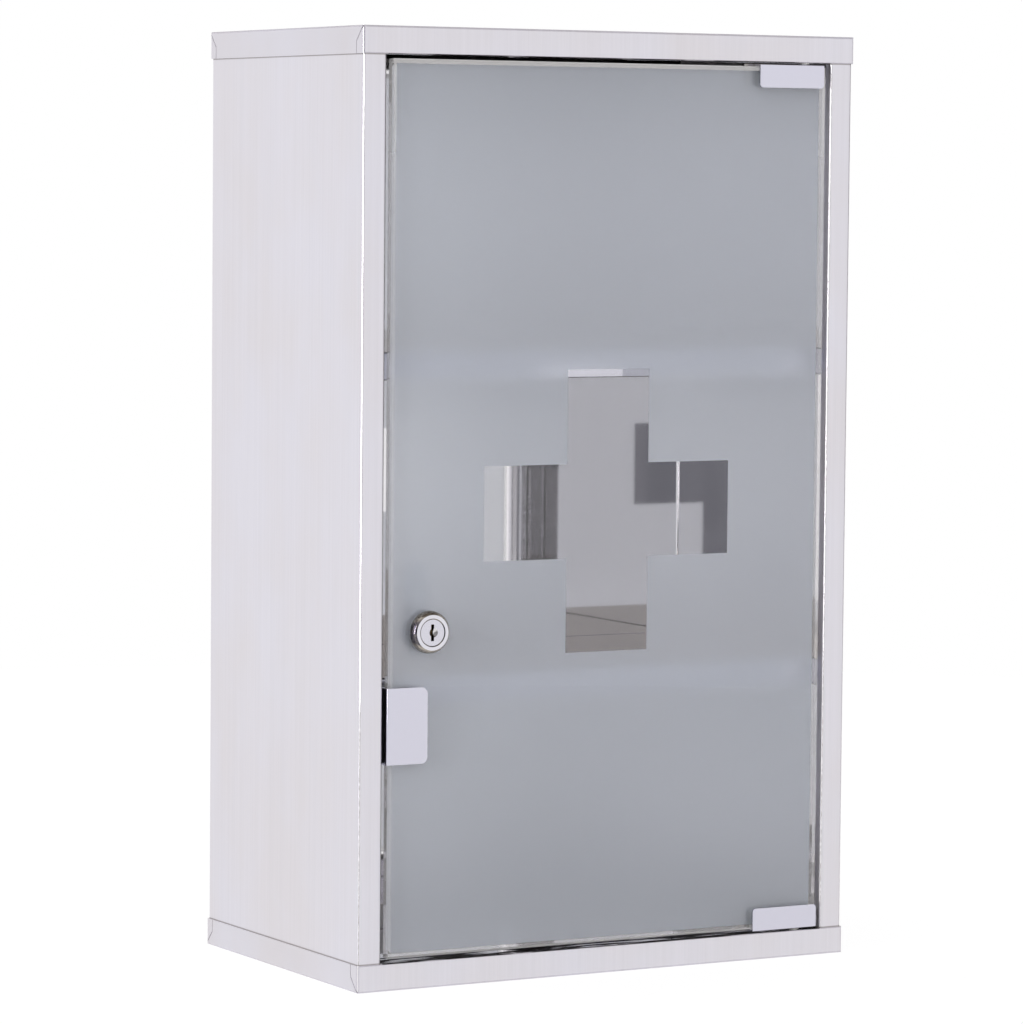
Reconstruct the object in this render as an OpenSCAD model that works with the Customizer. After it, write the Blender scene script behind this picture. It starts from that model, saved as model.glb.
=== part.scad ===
// Lockable wall cabinet for medicines: a folded steel box with two fixed shelves and a
// frosted glass door that hangs on two pivot clips, with a clip handle and a cam lock.
// Millimetres. The origin is the centre of the underside, +Z is up, the door faces -Y.

/* [Steel box] */
// Width over the two end caps
body_w = 300; // [240:1:450]
// Depth over the two end caps
body_d = 180; // [130:1:300]
// Height over the two end caps
body_h = 500; // [440:1:700]
// Thickness of the box's steel sheet
sheet_t = 0.8; // [0.6:0.1:1.2]
// Height of the skirt that each end cap folds round the box
skirt_h = 14.5; // [12:0.5:20]
// Width of the front frame at each side of the door
frame_w = 14.6; // [12:0.1:20]
// Depth of the lips that turn in from the front frame
lip_d = 17; // [15:0.5:22]
// Outer radius of the folds in the body sheet and of the caps' upright corners
fold_r = 2; // [1.6:0.1:3]
// Outer radius of the caps' level edges
cap_edge_r = 1.3; // [1.2:0.1:2]
// Width of the tab that the front and back skirts fold round each corner
tab_w = 7.5; // [5:0.5:12]
// Height over which the tab's edge runs out slantwise to the corner
tab_slant_h = 8; // [5:0.5:10]
// Width of the open seam beside each tab
seam_w = 0.35; // [0.2:0.05:0.6]

/* [Wall holes] */
// Diameter of the four screw holes in the back
wall_hole_d = 6; // [4:0.5:9]
// Spacing of the wall holes across
wall_hole_dx = 220; // [120:1:220]
// Spacing of the wall holes in height
wall_hole_dz = 400; // [380:1:410]

/* [Shelves] */
// Height of the lower shelf's top face over the underside
lower_shelf_z = 161.5; // [120:0.5:180]
// Height from the lower shelf to the upper one
shelf_pitch = 170; // [120:1:200]
// Gap between the back of the magnet catch and the shelves' front edge
shelf_gap = 1; // [0.6:0.2:40]
// Height of the lip that hangs from each shelf's front edge
shelf_lip_h = 14.5; // [8:0.5:25]
// Height of the flange that hangs down behind each shelf
shelf_back_h = 14.5; // [10:0.5:25]
// Height of the flanges that hang down at each shelf's ends
shelf_end_h = 12; // [6:0.5:14]
// Diameter of the rivets that hold the shelves to the back
rivet_d = 3.2; // [2.4:0.1:4]
// Spacing of the two rivets in a shelf
rivet_dx = 120; // [60:1:150]

/* [Glass door] */
// Thickness of the glass
glass_t = 5; // [4:0.5:6]
// Distance of the glass behind the front of the box
glass_setback = 1; // [0.8:0.1:1.4]
// Gap between the glass and the frame at each side
side_gap = 3.1; // [2.6:0.1:4]
// Gap between the glass and the frame at top and bottom
end_gap = 2.2; // [2.2:0.1:3]
// Width of the ground bevel round the edges of the glass
arris = 0.6; // [0.3:0.1:1]
// Radius of the corners of the glass
glass_corner_r = 1.5; // [1:0.1:3]
// Thickness of the frosted film on the back of the glass
film_t = 0.2; // [0.1:0.05:0.3]
// Width of the clear margin round the film
film_margin = 2.3; // [1.5:0.1:4]
// Radius of the corners of the film
film_corner_r = 3; // [2:0.5:8]
// Length of the arms of the clear cross, from tip to tip
cross_l = 150; // [100:1:170]
// Width of the arms of the clear cross
cross_w = 50; // [30:1:60]
// Height of the middle of the cross under the middle of the door
cross_drop = 3; // [0:1:20]

/* [Hinge clips] */
// Width of the front plate of a hinge clip
hinge_clip_w = 40.6; // [36:0.1:44]
// Height of a hinge clip, over its edge
hinge_clip_h = 12.6; // [11:0.1:16]
// How much wider the clip's back plate is, on the side away from the hinge
hinge_back_extra = 6; // [2:0.5:8]
// Distance of the upper clip from the hinge edge of the glass
upper_clip_inset = 1.9; // [0:0.1:3]
// Distance of the lower clip from the hinge edge of the glass
lower_clip_inset = 0.2; // [0:0.1:3]
// Thickness of the front plate of the clips
clip_t = 1; // [0.8:0.1:1]
// Thickness of the back plate of the clips, which holds the grub screws
clip_back_t = 2.6; // [2:0.1:3]
// Thickness of the plastic liner between a clip and the glass
liner_t = 0.3; // [0.2:0.05:0.3]
// Radius of the corners of the hinge clips
hinge_corner_r = 2; // [1:0.1:3]
// Distance of the hinge axis from the edge of the glass
pivot_inset = 12.3; // [10:0.1:16]
// Distance of the hinge axis behind the front of the box
pivot_setback = 4; // [3.8:0.1:4.5]
// Diameter of the pivot pins
pin_d = 3; // [2.5:0.1:3]
// Length of the pivot bushes under their collar
bush_l = 5; // [4:0.5:8]
// Thickness of the collar of the pivot bushes
bush_collar_t = 0.6; // [0.4:0.1:0.6]
// Diameter of the grub screws in the clips
grub_d = 4; // [3:0.5:4]
// Spacing of the grub screws in a hinge clip
hinge_grub_dx = 22; // [14:1:26]

/* [Handle] */
// Width of the handle's front plate, over its edge
handle_w = 23.8; // [18:0.1:30]
// Height of the handle
handle_h = 40; // [34:0.5:50]
// Height of the handle's middle over the underside
handle_z = 138.2; // [120:0.1:140]
// Radius of the handle's corners
handle_corner_r = 3.5; // [2:0.1:5]
// Spacing of the two grub screws in the handle
handle_grub_dz = 22; // [14:1:26]

/* [Lock] */
// Distance of the lock's axis from the edge of the glass
lock_inset = 23.4; // [21:0.1:27]
// Height of the lock's axis over the underside
lock_z = 186.7; // [184:0.1:200]
// Diameter of the lock's bezel on the glass
bezel_d = 22.4; // [21.5:0.1:26]
// Diameter of the lock's flat face
lock_face_d = 18.6; // [17:0.1:20]
// How far the face stands out from the bezel's back
lock_face_h = 4.2; // [3:0.1:7]
// Diameter of the lock's barrel
barrel_d = 18; // [17:0.1:18.5]
// Diameter of the plug that the key turns
plug_d = 14.3; // [13:0.1:14.5]
// Height of the keyway
keyway_h = 8.7; // [7:0.1:9]
// Width of the keyway
keyway_w = 1.8; // [1.4:0.1:2]
// Depth of the keyway
keyway_l = 14.5; // [14:0.1:15]
// Length of the cam from the lock's axis to its tip
cam_l = 36; // [33:0.5:37]
// Width of the cam
cam_w = 14; // [11:0.5:15]
// Thickness of the cam
cam_t = 2; // [1.5:0.1:2.5]
// Width of the lock nut across its flats
nut_af = 24; // [22:0.5:26]
// Thickness of the lock nut
nut_t = 3.5; // [2.5:0.5:4]
// Number of wafers in the plug
wafers = 5; // [3:1:5]

/* [Magnet catch] */
// Width of the catch's housing
catch_w = 16.4; // [14:0.1:20]
// Depth of the catch's housing
catch_d = 9; // [8.6:0.1:14]
// Height of the magnet
magnet_h = 18; // [12:1:20]
// Width of the magnet
magnet_w = 4; // [3:0.5:5]
// Depth of the magnet
magnet_d = 7; // [5:0.5:7.5]
// Thickness of the pole plates beside the magnet
pole_t = 1.2; // [0.8:0.1:1.5]

/* [Hidden] */
$fn = 48;

// Clearances: a seat between fixed pieces, a turning fit, and a rest gap between moving pieces
seat_fit = 0.1;
turn_fit = 0.05;
rest_gap = 0.3;
// Cuts run this far past the face that they open
over = 1;

// Box: outer face of the body sheet, which lies inside the caps' skirts
front_y = -body_d / 2;
shell_x = body_w / 2 - sheet_t;
shell_front_y = front_y + sheet_t;
shell_back_y = -shell_front_y;
inner_x = shell_x - sheet_t;
inner_back_y = shell_back_y - sheet_t;
opening_x = body_w / 2 - frame_w;
lip_end_y = shell_front_y + lip_d;
fold_mid_r = fold_r - sheet_t / 2;
fold_steps = 6;

// Shelves
upper_shelf_z = lower_shelf_z + shelf_pitch;
shelf_x = inner_x - seat_fit;
shelf_back_y = inner_back_y - seat_fit;
shelf_fold_r = 1.2;
rivet_head_d = 2 * rivet_d;
rivet_head_h = 1.3;
rivet_tail_h = 0.6;
rivet_z = -(sheet_t + shelf_back_h) / 2;

// Door
glass_x = opening_x - side_gap;
glass_z0 = skirt_h + end_gap;
glass_z1 = body_h - glass_z0;
glass_y0 = front_y + glass_setback;
glass_y1 = glass_y0 + glass_t;
pane_y1 = glass_y1 + film_t;
cross_z = body_h / 2 - cross_drop;

// Clips, in their own frame: the edge of the glass runs along X at z = 0
front_leg_y = glass_y0 - liner_t - clip_t;
back_leg_y = pane_y1 + liner_t + clip_back_t;
clip_under = liner_t + clip_t;
clip_bend_r = 1;
hinge_reach = hinge_clip_h - clip_under;
handle_reach = handle_w - clip_under;
handle_back_reach = handle_reach * 0.8;
liner_inset = 0.8;
grub_socket_af = 2;
grub_socket_l = 1.4;

// Hinge axis, pins and bushes
pivot_x = glass_x - pivot_inset;
pivot_y = front_y + pivot_setback;
bush_wall = 1;
bush_d = pin_d + 2 * bush_wall + 2 * turn_fit;
bush_collar_d = bush_d + 1;
pin_tip = 0.5;
cap_return_y = lip_end_y;

// Lock, along Y: distances from the gasket's front face, positive into the cabinet
lock_x = -glass_x + lock_inset;
gasket_t = 0.4;
lock_seat_y = glass_y0 - gasket_t;
bezel_rim_t = 0.6;
bezel_turn = 45;
bore_d = plug_d + 2 * turn_fit;
glass_hole_d = barrel_d + 1;
lock_washer_t = 0.8;
lock_washer_d = nut_af + 1;
cam_y = lip_end_y + 0.8;
barrel_end_y = cam_y - 0.6;
plug_face_y = lock_seat_y - lock_face_h + 0.3;
face_groove = 0.25;
tang = 7;
cam_screw_d = 4;
cam_screw_head_d = 8;
cam_screw_head_h = 2.4;
cam_screw_l = 7;
cam_washer_d = 10;
cam_washer_t = 0.8;
dimple_d = 5;
dimple_x = 0.7;
dimple_l = 1.3;
thread_pitch = 1.5;
thread_depth = 0.35;

// Wafers: plates across the plug, each with a window for the key and an ear on its spring
wafer_t = 1;
wafer_slot_t = 1.2;
wafer_half_w = 3;
wafer_first = 3.2;
wafer_pitch = 2.4;
wafer_play = 0.15;
ear_x = 5;
ear_z = 2;
ear_h = 1.2;
spring_d = 1;
spring_z0 = -2.6;

// Catch: its plates lie one rest gap behind the handle's back plate
catch_y0 = back_leg_y + rest_gap;
catch_x0 = -opening_x;
catch_front_step = 0.6;
catch_edge_r = 1;
shelf_front_y = catch_y0 + catch_front_step + catch_d + shelf_gap;
magnet_x = catch_x0 + catch_w / 2 + 1;
catch_h = handle_h;
catch_screw_d = 3;
catch_screw_head_d = 5.6;
catch_screw_head_h = 2;
catch_wall = 4;
catch_screw_l = catch_wall + sheet_t + 3;
catch_screw_y = (catch_y0 + catch_front_step + lip_end_y) / 2;
catch_screw_dz = catch_h - 9;

steel = "gainsboro";
chrome = "lightgray";

// ---- folded sheet ----------------------------------------------------------------------

function reversed(list) = [for (i = [len(list) - 1:-1:0]) list[i]];
function direction(a, b) = (b - a) / norm(b - a);
function left_of(v) = [-v.y, v.x];
function turned(v, a) = [v.x * cos(a) - v.y * sin(a), v.x * sin(a) + v.y * cos(a)];

// One side of a fold: the arc about the fold's centre, off to the left of the sheet's middle
function fold_arc(before, corner, after, r, off) =
    let (
        d1 = direction(before, corner),
        d2 = direction(corner, after),
        a = atan2(cross(d1, d2), d1 * d2),
        side = a > 0 ? 1 : -1,
        centre = corner - d1 * r * tan(abs(a) / 2) + side * r * left_of(d1)
    )
    [for (k = [0:fold_steps]) centre - side * (r - side * off) * turned(left_of(d1), a * k / fold_steps)];

function sheet_side(corners, r, off) =
    let (last = len(corners) - 1)
    concat(
        [corners[0] + off * left_of(direction(corners[0], corners[1]))],
        [for (i = [1:last - 1]) each fold_arc(corners[i - 1], corners[i], corners[i + 1], r, off)],
        [corners[last] + off * left_of(direction(corners[last - 1], corners[last]))]
    );

// Section of a sheet of thickness t folded along the corners of its middle line
module folded_section(corners, r, t) {
    polygon(concat(sheet_side(corners, r, t / 2), reversed(sheet_side(corners, r, -t / 2))));
}

// ---- shared shapes ---------------------------------------------------------------------

// Draws its child's X as Y and Y as Z, and extrudes it along X
module along_x(x0, x1) {
    translate([x0, 0, 0]) rotate([90, 0, 90]) linear_extrude(x1 - x0) children();
}

// Extrudes a shape drawn in X and Z along Y
module along_y(y0, y1) {
    translate([0, y1, 0]) rotate([90, 0, 0]) linear_extrude(y1 - y0) children();
}

// A round bar, hole or ring along Y
module bar_y(d, y0, y1) {
    translate([0, y0, 0]) rotate([-90, 0, 0]) cylinder(h = y1 - y0, d = d);
}

module block(low, high) {
    translate(low) cube(high - low);
}

// A rectangle by its corners, with all four corners rounded
module round_rect(low, high, r) {
    translate(low + [r, 0]) square([high.x - low.x - 2 * r, high.y - low.y]);
    translate(low + [0, r]) square([high.x - low.x, high.y - low.y - 2 * r]);
    for (x = [low.x + r, high.x - r], y = [low.y + r, high.y - r]) {
        translate([x, y]) circle(r = r);
    }
}

// A rectangle by its corners, with all four corners cut off at 45 degrees
module bevel_rect(low, high, c) {
    polygon([
        [low.x + c, low.y], [high.x - c, low.y], [high.x, low.y + c], [high.x, high.y - c],
        [high.x - c, high.y], [low.x + c, high.y], [low.x, high.y - c], [low.x, low.y + c]
    ]);
}

// ---- steel box -------------------------------------------------------------------------

module wall_hole_places() {
    for (sx = [-1, 1], sz = [-1, 1]) {
        translate([sx * wall_hole_dx / 2, 0, (body_h + sz * wall_hole_dz) / 2]) children();
    }
}

module rivet_places(shelf_z) {
    for (x = [-1, 1] * rivet_dx / 2) {
        translate([x, 0, shelf_z + rivet_z]) children();
    }
}

module catch_screw_places() {
    for (side = [-1, 1]) {
        translate([catch_x0, catch_screw_y, handle_z + side * catch_screw_dz / 2])
            rotate([0, 90, 0]) children();
    }
}

// Sides, back and front frame, folded from one sheet
module body_shell() {
    mid_x = shell_x - sheet_t / 2;
    mid_y = shell_back_y - sheet_t / 2;
    lip_x = opening_x + sheet_t / 2;
    half = [[lip_x, lip_end_y], [lip_x, -mid_y], [mid_x, -mid_y], [mid_x, mid_y]];
    other = [for (p = half) [-p.x, p.y]];
    color(steel) difference() {
        translate([0, 0, cap_edge_r]) linear_extrude(body_h - 2 * cap_edge_r)
            folded_section(concat(half, reversed(other)), fold_mid_r, sheet_t);
        wall_hole_places() bar_y(wall_hole_d, inner_back_y - over, shell_back_y + over);
        for (shelf_z = [lower_shelf_z, upper_shelf_z]) {
            rivet_places(shelf_z) bar_y(rivet_d, inner_back_y - over, shell_back_y + over);
        }
        catch_screw_places() translate([0, 0, -sheet_t - over])
            cylinder(h = sheet_t + 2 * over, d = catch_screw_d);
    }
}

// A tray by its outer half sizes, open at the top
module tray_block(half_x, half_y, floor_z, top_z, upright_r, level_r) {
    intersection() {
        translate([0, 0, floor_z]) linear_extrude(top_z - floor_z)
            round_rect([-half_x, -half_y], [half_x, half_y], upright_r);
        along_y(-half_y - over, half_y + over)
            round_rect([-half_x, floor_z], [half_x, top_z + 2 * level_r], level_r);
        along_x(-half_x - over, half_x + over)
            round_rect([-half_y, floor_z], [half_y, top_z + 2 * level_r], level_r);
    }
}

// The open seam that parts a corner tab from the side skirt, drawn for the front left corner
module tab_seam() {
    bend = [front_y + tab_w, tab_slant_h];
    along_x(-body_w / 2 - over, -shell_x + seat_fit) {
        polygon([
            [front_y, 0], [front_y + seam_w, 0], bend + [seam_w / 2, 0], bend + [seam_w / 2, skirt_h],
            bend + [-seam_w / 2, skirt_h], bend + [-seam_w / 2, seam_w], [front_y, seam_w]
        ]);
    }
}

// An end cap, drawn as the bottom one
module end_cap() {
    color(steel) difference() {
        union() {
            difference() {
                tray_block(body_w / 2, body_d / 2, 0, skirt_h, fold_r, cap_edge_r);
                tray_block(shell_x, shell_back_y, sheet_t, skirt_h + over,
                    fold_r - sheet_t, cap_edge_r - sheet_t);
            }
            block([-opening_x + seat_fit, shell_front_y - sheet_t / 2, skirt_h - sheet_t],
                [opening_x - seat_fit, cap_return_y, skirt_h]);
        }
        for (sx = [0, 1], sy = [0, 1]) {
            mirror([sx, 0, 0]) mirror([0, sy, 0]) tab_seam();
        }
        along_x(-body_w, body_w) difference() {
            translate([front_y - over, skirt_h - sheet_t]) square([over + sheet_t, sheet_t + over]);
            translate([front_y + sheet_t, skirt_h - sheet_t]) circle(r = sheet_t);
            translate([front_y + sheet_t, skirt_h - sheet_t]) square(sheet_t);
        }
        translate([pivot_x, pivot_y, skirt_h - sheet_t - over])
            cylinder(h = sheet_t + 2 * over, d = bush_d);
    }
}

module bottom_cap() {
    end_cap();
}

module top_cap() {
    upside_down() end_cap();
}

module upside_down() {
    translate([0, 0, body_h]) mirror([0, 0, 1]) children();
}

// A shelf: a tray with a lip down at the front, and a flange down at the back and at each end
module shelf(top_z) {
    mid_z = top_z - sheet_t / 2;
    back_mid = shelf_back_y - sheet_t / 2;
    front_mid = shelf_front_y + sheet_t / 2;
    color(steel) difference() {
        intersection() {
            union() {
                along_x(-shelf_x, shelf_x) folded_section([
                    [back_mid, top_z - shelf_back_h], [back_mid, mid_z],
                    [front_mid, mid_z], [front_mid, top_z - shelf_lip_h]
                ], shelf_fold_r, sheet_t);
                for (side = [0, 1]) mirror([side, 0, 0]) block(
                    [shelf_x - sheet_t, shelf_front_y + sheet_t / 2, top_z - shelf_end_h],
                    [shelf_x, shelf_back_y - 2 * shelf_fold_r, mid_z]);
            }
            linear_extrude(body_h) round_rect([-shelf_x, shelf_front_y - 2 * fold_r],
                [shelf_x, shelf_back_y], fold_r);
        }
        rivet_places(top_z) bar_y(rivet_d, shelf_back_y - sheet_t - over, shelf_back_y + over);
    }
}

module lower_shelf() {
    shelf(lower_shelf_z);
}

module upper_shelf() {
    shelf(upper_shelf_z);
}

// A blind rivet: shank, domed head on the shelf's flange, and a low tail behind the back
module rivet() {
    head_y = shelf_back_y - sheet_t;
    translate([0, shell_back_y + rivet_tail_h, 0]) rotate([90, 0, 0]) rotate_extrude() polygon([
        [0, 0], [rivet_head_d / 2 - 0.8, 0], [rivet_head_d / 2 - 0.6, rivet_tail_h],
        [rivet_d / 2, rivet_tail_h], [rivet_d / 2, shell_back_y + rivet_tail_h - head_y],
        [rivet_head_d / 2, shell_back_y + rivet_tail_h - head_y],
        [rivet_head_d / 2 * 0.86, shell_back_y + rivet_tail_h - head_y + rivet_head_h * 0.55],
        [rivet_head_d / 2 * 0.5, shell_back_y + rivet_tail_h - head_y + rivet_head_h * 0.9],
        [0, shell_back_y + rivet_tail_h - head_y + rivet_head_h]
    ]);
}

module shelf_rivets() {
    color(chrome) for (shelf_z = [lower_shelf_z, upper_shelf_z]) {
        rivet_places(shelf_z) rivet();
    }
}

// ---- pivots ----------------------------------------------------------------------------

// A plastic bush in the cap's turned-in flange, drawn as the lower one
module pivot_bush() {
    color("whitesmoke") translate([pivot_x, pivot_y, 0]) difference() {
        union() {
            translate([0, 0, skirt_h - bush_l]) cylinder(h = bush_l, d = bush_d);
            translate([0, 0, skirt_h]) cylinder(h = bush_collar_t, d = bush_collar_d);
        }
        translate([0, 0, skirt_h - bush_l - over])
            cylinder(h = bush_l + bush_collar_t + 2 * over, d = pin_d + 2 * turn_fit);
    }
}

module lower_bush() {
    pivot_bush();
}

module upper_bush() {
    upside_down() pivot_bush();
}

// A steel pin fixed in the clip's edge, drawn as the lower one
module pivot_pin() {
    color(chrome) translate([pivot_x, pivot_y, skirt_h - bush_l - pin_tip])
        cylinder(h = glass_z0 - liner_t - (skirt_h - bush_l - pin_tip), d = pin_d);
}

module lower_pivot_pin() {
    pivot_pin();
}

module upper_pivot_pin() {
    upside_down() pivot_pin();
}

// ---- glass door ------------------------------------------------------------------------

module door_glass() {
    color("lightblue", 0.4) difference() {
        intersection() {
            translate([0, 0, glass_z0 - over]) linear_extrude(glass_z1 - glass_z0 + 2 * over)
                bevel_rect([-glass_x, glass_y0], [glass_x, glass_y1], arris);
            along_x(-glass_x - over, glass_x + over)
                bevel_rect([glass_y0, glass_z0], [glass_y1, glass_z1], arris);
            along_y(glass_y0 - over, glass_y1 + over)
                round_rect([-glass_x, glass_z0], [glass_x, glass_z1], glass_corner_r);
        }
        translate([lock_x, 0, lock_z]) bar_y(glass_hole_d, glass_y0 - over, glass_y1 + over);
    }
}

module frost_film() {
    color("aliceblue") along_y(glass_y1, pane_y1) difference() {
        round_rect([-glass_x, glass_z0] + [1, 1] * film_margin,
            [glass_x, glass_z1] - [1, 1] * film_margin, film_corner_r);
        translate([0, cross_z]) square([cross_l, cross_w], center = true);
        translate([0, cross_z]) square([cross_w, cross_l], center = true);
        translate([lock_x, lock_z]) circle(d = glass_hole_d);
    }
}

// ---- clips on the glass ----------------------------------------------------------------

module grub_places(spacing, reach) {
    for (x = [-1, 1] * spacing / 2) {
        translate([x, 0, reach / 2]) children();
    }
}

// A clip bent over the glass, drawn over a lower edge that runs along X through z = 0.
// The back plate is longer by extra towards -X.
module glass_clip(w, reach, back_reach, extra, r, spacing) {
    difference() {
        union() {
            intersection() {
                along_x(-w / 2, w / 2) difference() {
                    round_rect([front_leg_y, -clip_under],
                        [back_leg_y, reach + 2 * clip_bend_r], clip_bend_r);
                    translate([glass_y0 - liner_t, -liner_t])
                        square([back_leg_y - glass_y0 + liner_t + over, reach + 2 * reach]);
                }
                along_y(front_leg_y - over, back_leg_y + over)
                    round_rect([-w / 2, -clip_under - 2 * r], [w / 2, reach], r);
            }
            intersection() {
                along_x(-w / 2 - extra, w / 2) difference() {
                    round_rect([front_leg_y, -clip_under],
                        [back_leg_y, back_reach + 2 * clip_bend_r], clip_bend_r);
                    translate([front_leg_y - over, -clip_under - over])
                        square([pane_y1 + liner_t - front_leg_y + over, 4 * reach]);
                }
                along_y(front_leg_y - over, back_leg_y + over)
                    round_rect([-w / 2 - extra, -clip_under - 2 * r], [w / 2, back_reach], r);
            }
        }
        grub_places(spacing, back_reach) bar_y(grub_d, pane_y1, back_leg_y + over);
    }
}

// The liner between such a clip and the glass
module clip_liner(w, reach, back_reach) {
    half = w / 2 - liner_inset;
    along_x(-half, half) difference() {
        translate([glass_y0 - liner_t, -liner_t])
            square([pane_y1 - glass_y0 + 2 * liner_t, min(reach, back_reach) - liner_inset + liner_t]);
        translate([glass_y0, 0]) square([pane_y1 - glass_y0, reach + over]);
    }
}

// The grub screws of such a clip, each with a hexagon socket
module clip_grubs(spacing, back_reach) {
    grub_places(spacing, back_reach) difference() {
        bar_y(grub_d, pane_y1 + liner_t, back_leg_y);
        translate([0, back_leg_y - grub_socket_l, 0]) rotate([-90, 0, 0])
            cylinder(h = grub_socket_l + over, d = grub_socket_af / cos(30), $fn = 6);
    }
}

// Places of the three clips
module lower_clip_place() {
    translate([glass_x - lower_clip_inset - hinge_clip_w / 2, 0, glass_z0]) children();
}

module upper_clip_place() {
    upside_down() translate([glass_x - upper_clip_inset - hinge_clip_w / 2, 0, glass_z0]) children();
}

module handle_place() {
    translate([-glass_x, 0, handle_z]) rotate([0, 90, 0]) children();
}

module hinge_clip(inset) {
    from_middle = pivot_x - (glass_x - inset - hinge_clip_w / 2);
    color(chrome) difference() {
        glass_clip(hinge_clip_w, hinge_reach, hinge_reach, hinge_back_extra,
            hinge_corner_r, hinge_grub_dx);
        translate([from_middle, pivot_y, -clip_under - over])
            cylinder(h = clip_under - liner_t + over, d = pin_d);
    }
}

module lower_hinge_clip() {
    lower_clip_place() hinge_clip(lower_clip_inset);
}

module upper_hinge_clip() {
    upper_clip_place() hinge_clip(upper_clip_inset);
}

module hinge_liners() {
    color("white") {
        lower_clip_place() clip_liner(hinge_clip_w, hinge_reach, hinge_reach);
        upper_clip_place() clip_liner(hinge_clip_w, hinge_reach, hinge_reach);
    }
}

module hinge_grub_screws() {
    color("dimgray") {
        lower_clip_place() clip_grubs(hinge_grub_dx, hinge_reach);
        upper_clip_place() clip_grubs(hinge_grub_dx, hinge_reach);
    }
}

module handle_clip() {
    color(chrome) handle_place()
        glass_clip(handle_h, handle_reach, handle_back_reach, 0, handle_corner_r, handle_grub_dz);
}

module handle_liner() {
    color("white") handle_place() clip_liner(handle_h, handle_reach, handle_back_reach);
}

module handle_grub_screws() {
    color("dimgray") handle_place() clip_grubs(handle_grub_dz, handle_back_reach);
}

// ---- lock ------------------------------------------------------------------------------

module at_lock() {
    translate([lock_x, 0, lock_z]) children();
}

// A flat ring round the lock's axis
module lock_ring(outer_d, inner_d, y0, y1) {
    difference() {
        bar_y(outer_d, y0, y1);
        bar_y(inner_d, y0 - over, y1 + over);
    }
}

// Bezel and threaded barrel in one piece, with the bore for the plug. The bezel's flank stands
// upright at its rim and leans in over bezel_turn degrees towards the flat face.
module lock_housing() {
    flank = [for (a = [0:bezel_turn / 5:bezel_turn]) [
        bezel_d / 2 - (bezel_d - lock_face_d) / 2 * (1 - cos(a)) / (1 - cos(bezel_turn)),
        bezel_rim_t + (lock_face_h - bezel_rim_t) * sin(a) / sin(bezel_turn)
    ]];
    section = concat(
        [[bore_d / 2, lock_seat_y - barrel_end_y], [barrel_d / 2, lock_seat_y - barrel_end_y],
         [barrel_d / 2, 0], [bezel_d / 2, 0]],
        flank,
        [[bore_d / 2 + face_groove, lock_face_h], [bore_d / 2, lock_face_h - face_groove]]
    );
    thread_y0 = pane_y1 + lock_washer_t + nut_t + thread_pitch / 2;
    color(chrome) at_lock() difference() {
        translate([0, lock_seat_y, 0]) rotate([90, 0, 0]) rotate_extrude() polygon(section);
        for (y = [thread_y0:thread_pitch:barrel_end_y - thread_pitch]) {
            lock_ring(barrel_d + over, barrel_d - 2 * thread_depth, y, y + thread_pitch / 2);
        }
    }
}

module lock_gasket() {
    color("white") at_lock() lock_ring(bezel_d, barrel_d, lock_seat_y, glass_y0);
}

module lock_washer() {
    color(chrome) at_lock() lock_ring(lock_washer_d, barrel_d, pane_y1, pane_y1 + lock_washer_t);
}

module lock_nut() {
    y0 = pane_y1 + lock_washer_t;
    color(chrome) at_lock() difference() {
        translate([0, y0, 0]) rotate([-90, 0, 0]) cylinder(h = nut_t, d = nut_af / cos(30), $fn = 6);
        bar_y(barrel_d, y0 - over, y0 + nut_t + over);
    }
}

module wafer_places() {
    for (i = [0:wafers - 1]) {
        translate([0, plug_face_y + wafer_first + i * wafer_pitch, 0]) children();
    }
}

// The plug, with its keyway, the slots that its wafers slide in and the tang for the cam
module lock_plug() {
    cam_back_y = cam_y + cam_t;
    color(chrome) at_lock() difference() {
        union() {
            translate([0, plug_face_y, 0]) rotate([-90, 0, 0])
                cylinder(h = face_groove, d1 = plug_d - 2 * face_groove, d2 = plug_d);
            bar_y(plug_d, plug_face_y + face_groove, cam_y);
            block([-tang / 2, cam_y - over, -tang / 2], [tang / 2, cam_back_y, tang / 2]);
        }
        block([-keyway_w / 2, plug_face_y - over, -keyway_h / 2],
            [keyway_w / 2, plug_face_y + keyway_l, keyway_h / 2]);
        translate([dimple_x, plug_face_y, 0]) rotate([-90, 0, 0])
            cylinder(h = dimple_l, d1 = dimple_d, d2 = dimple_d / 3);
        wafer_places() {
            block([-wafer_half_w - wafer_play, -wafer_slot_t / 2, -plug_d],
                [wafer_half_w + wafer_play, wafer_slot_t / 2, plug_d]);
            block([0, -wafer_slot_t / 2, spring_z0],
                [ear_x + wafer_play, wafer_slot_t / 2, ear_z + ear_h + wafer_play]);
        }
        bar_y(cam_screw_d, cam_back_y + cam_washer_t - cam_screw_l, cam_back_y + over);
    }
}

module lock_wafers() {
    window_h = keyway_h + 0.6;
    window_w = keyway_w + 0.4;
    color("goldenrod") at_lock() wafer_places() difference() {
        intersection() {
            union() {
                block([-wafer_half_w, -wafer_t / 2, -plug_d], [wafer_half_w, wafer_t / 2, plug_d]);
                block([0, -wafer_t / 2, ear_z], [ear_x, wafer_t / 2, ear_z + ear_h]);
            }
            bar_y(plug_d - 2 * wafer_play, -wafer_t, wafer_t);
        }
        block([-window_w / 2, -wafer_t, -window_h / 2], [window_w / 2, wafer_t, window_h / 2]);
    }
}

module wafer_springs() {
    x = (wafer_half_w + wafer_play + ear_x) / 2;
    color("dimgray") at_lock() wafer_places() translate([x, 0, spring_z0])
        cylinder(h = ear_z - spring_z0, d = spring_d);
}

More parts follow.
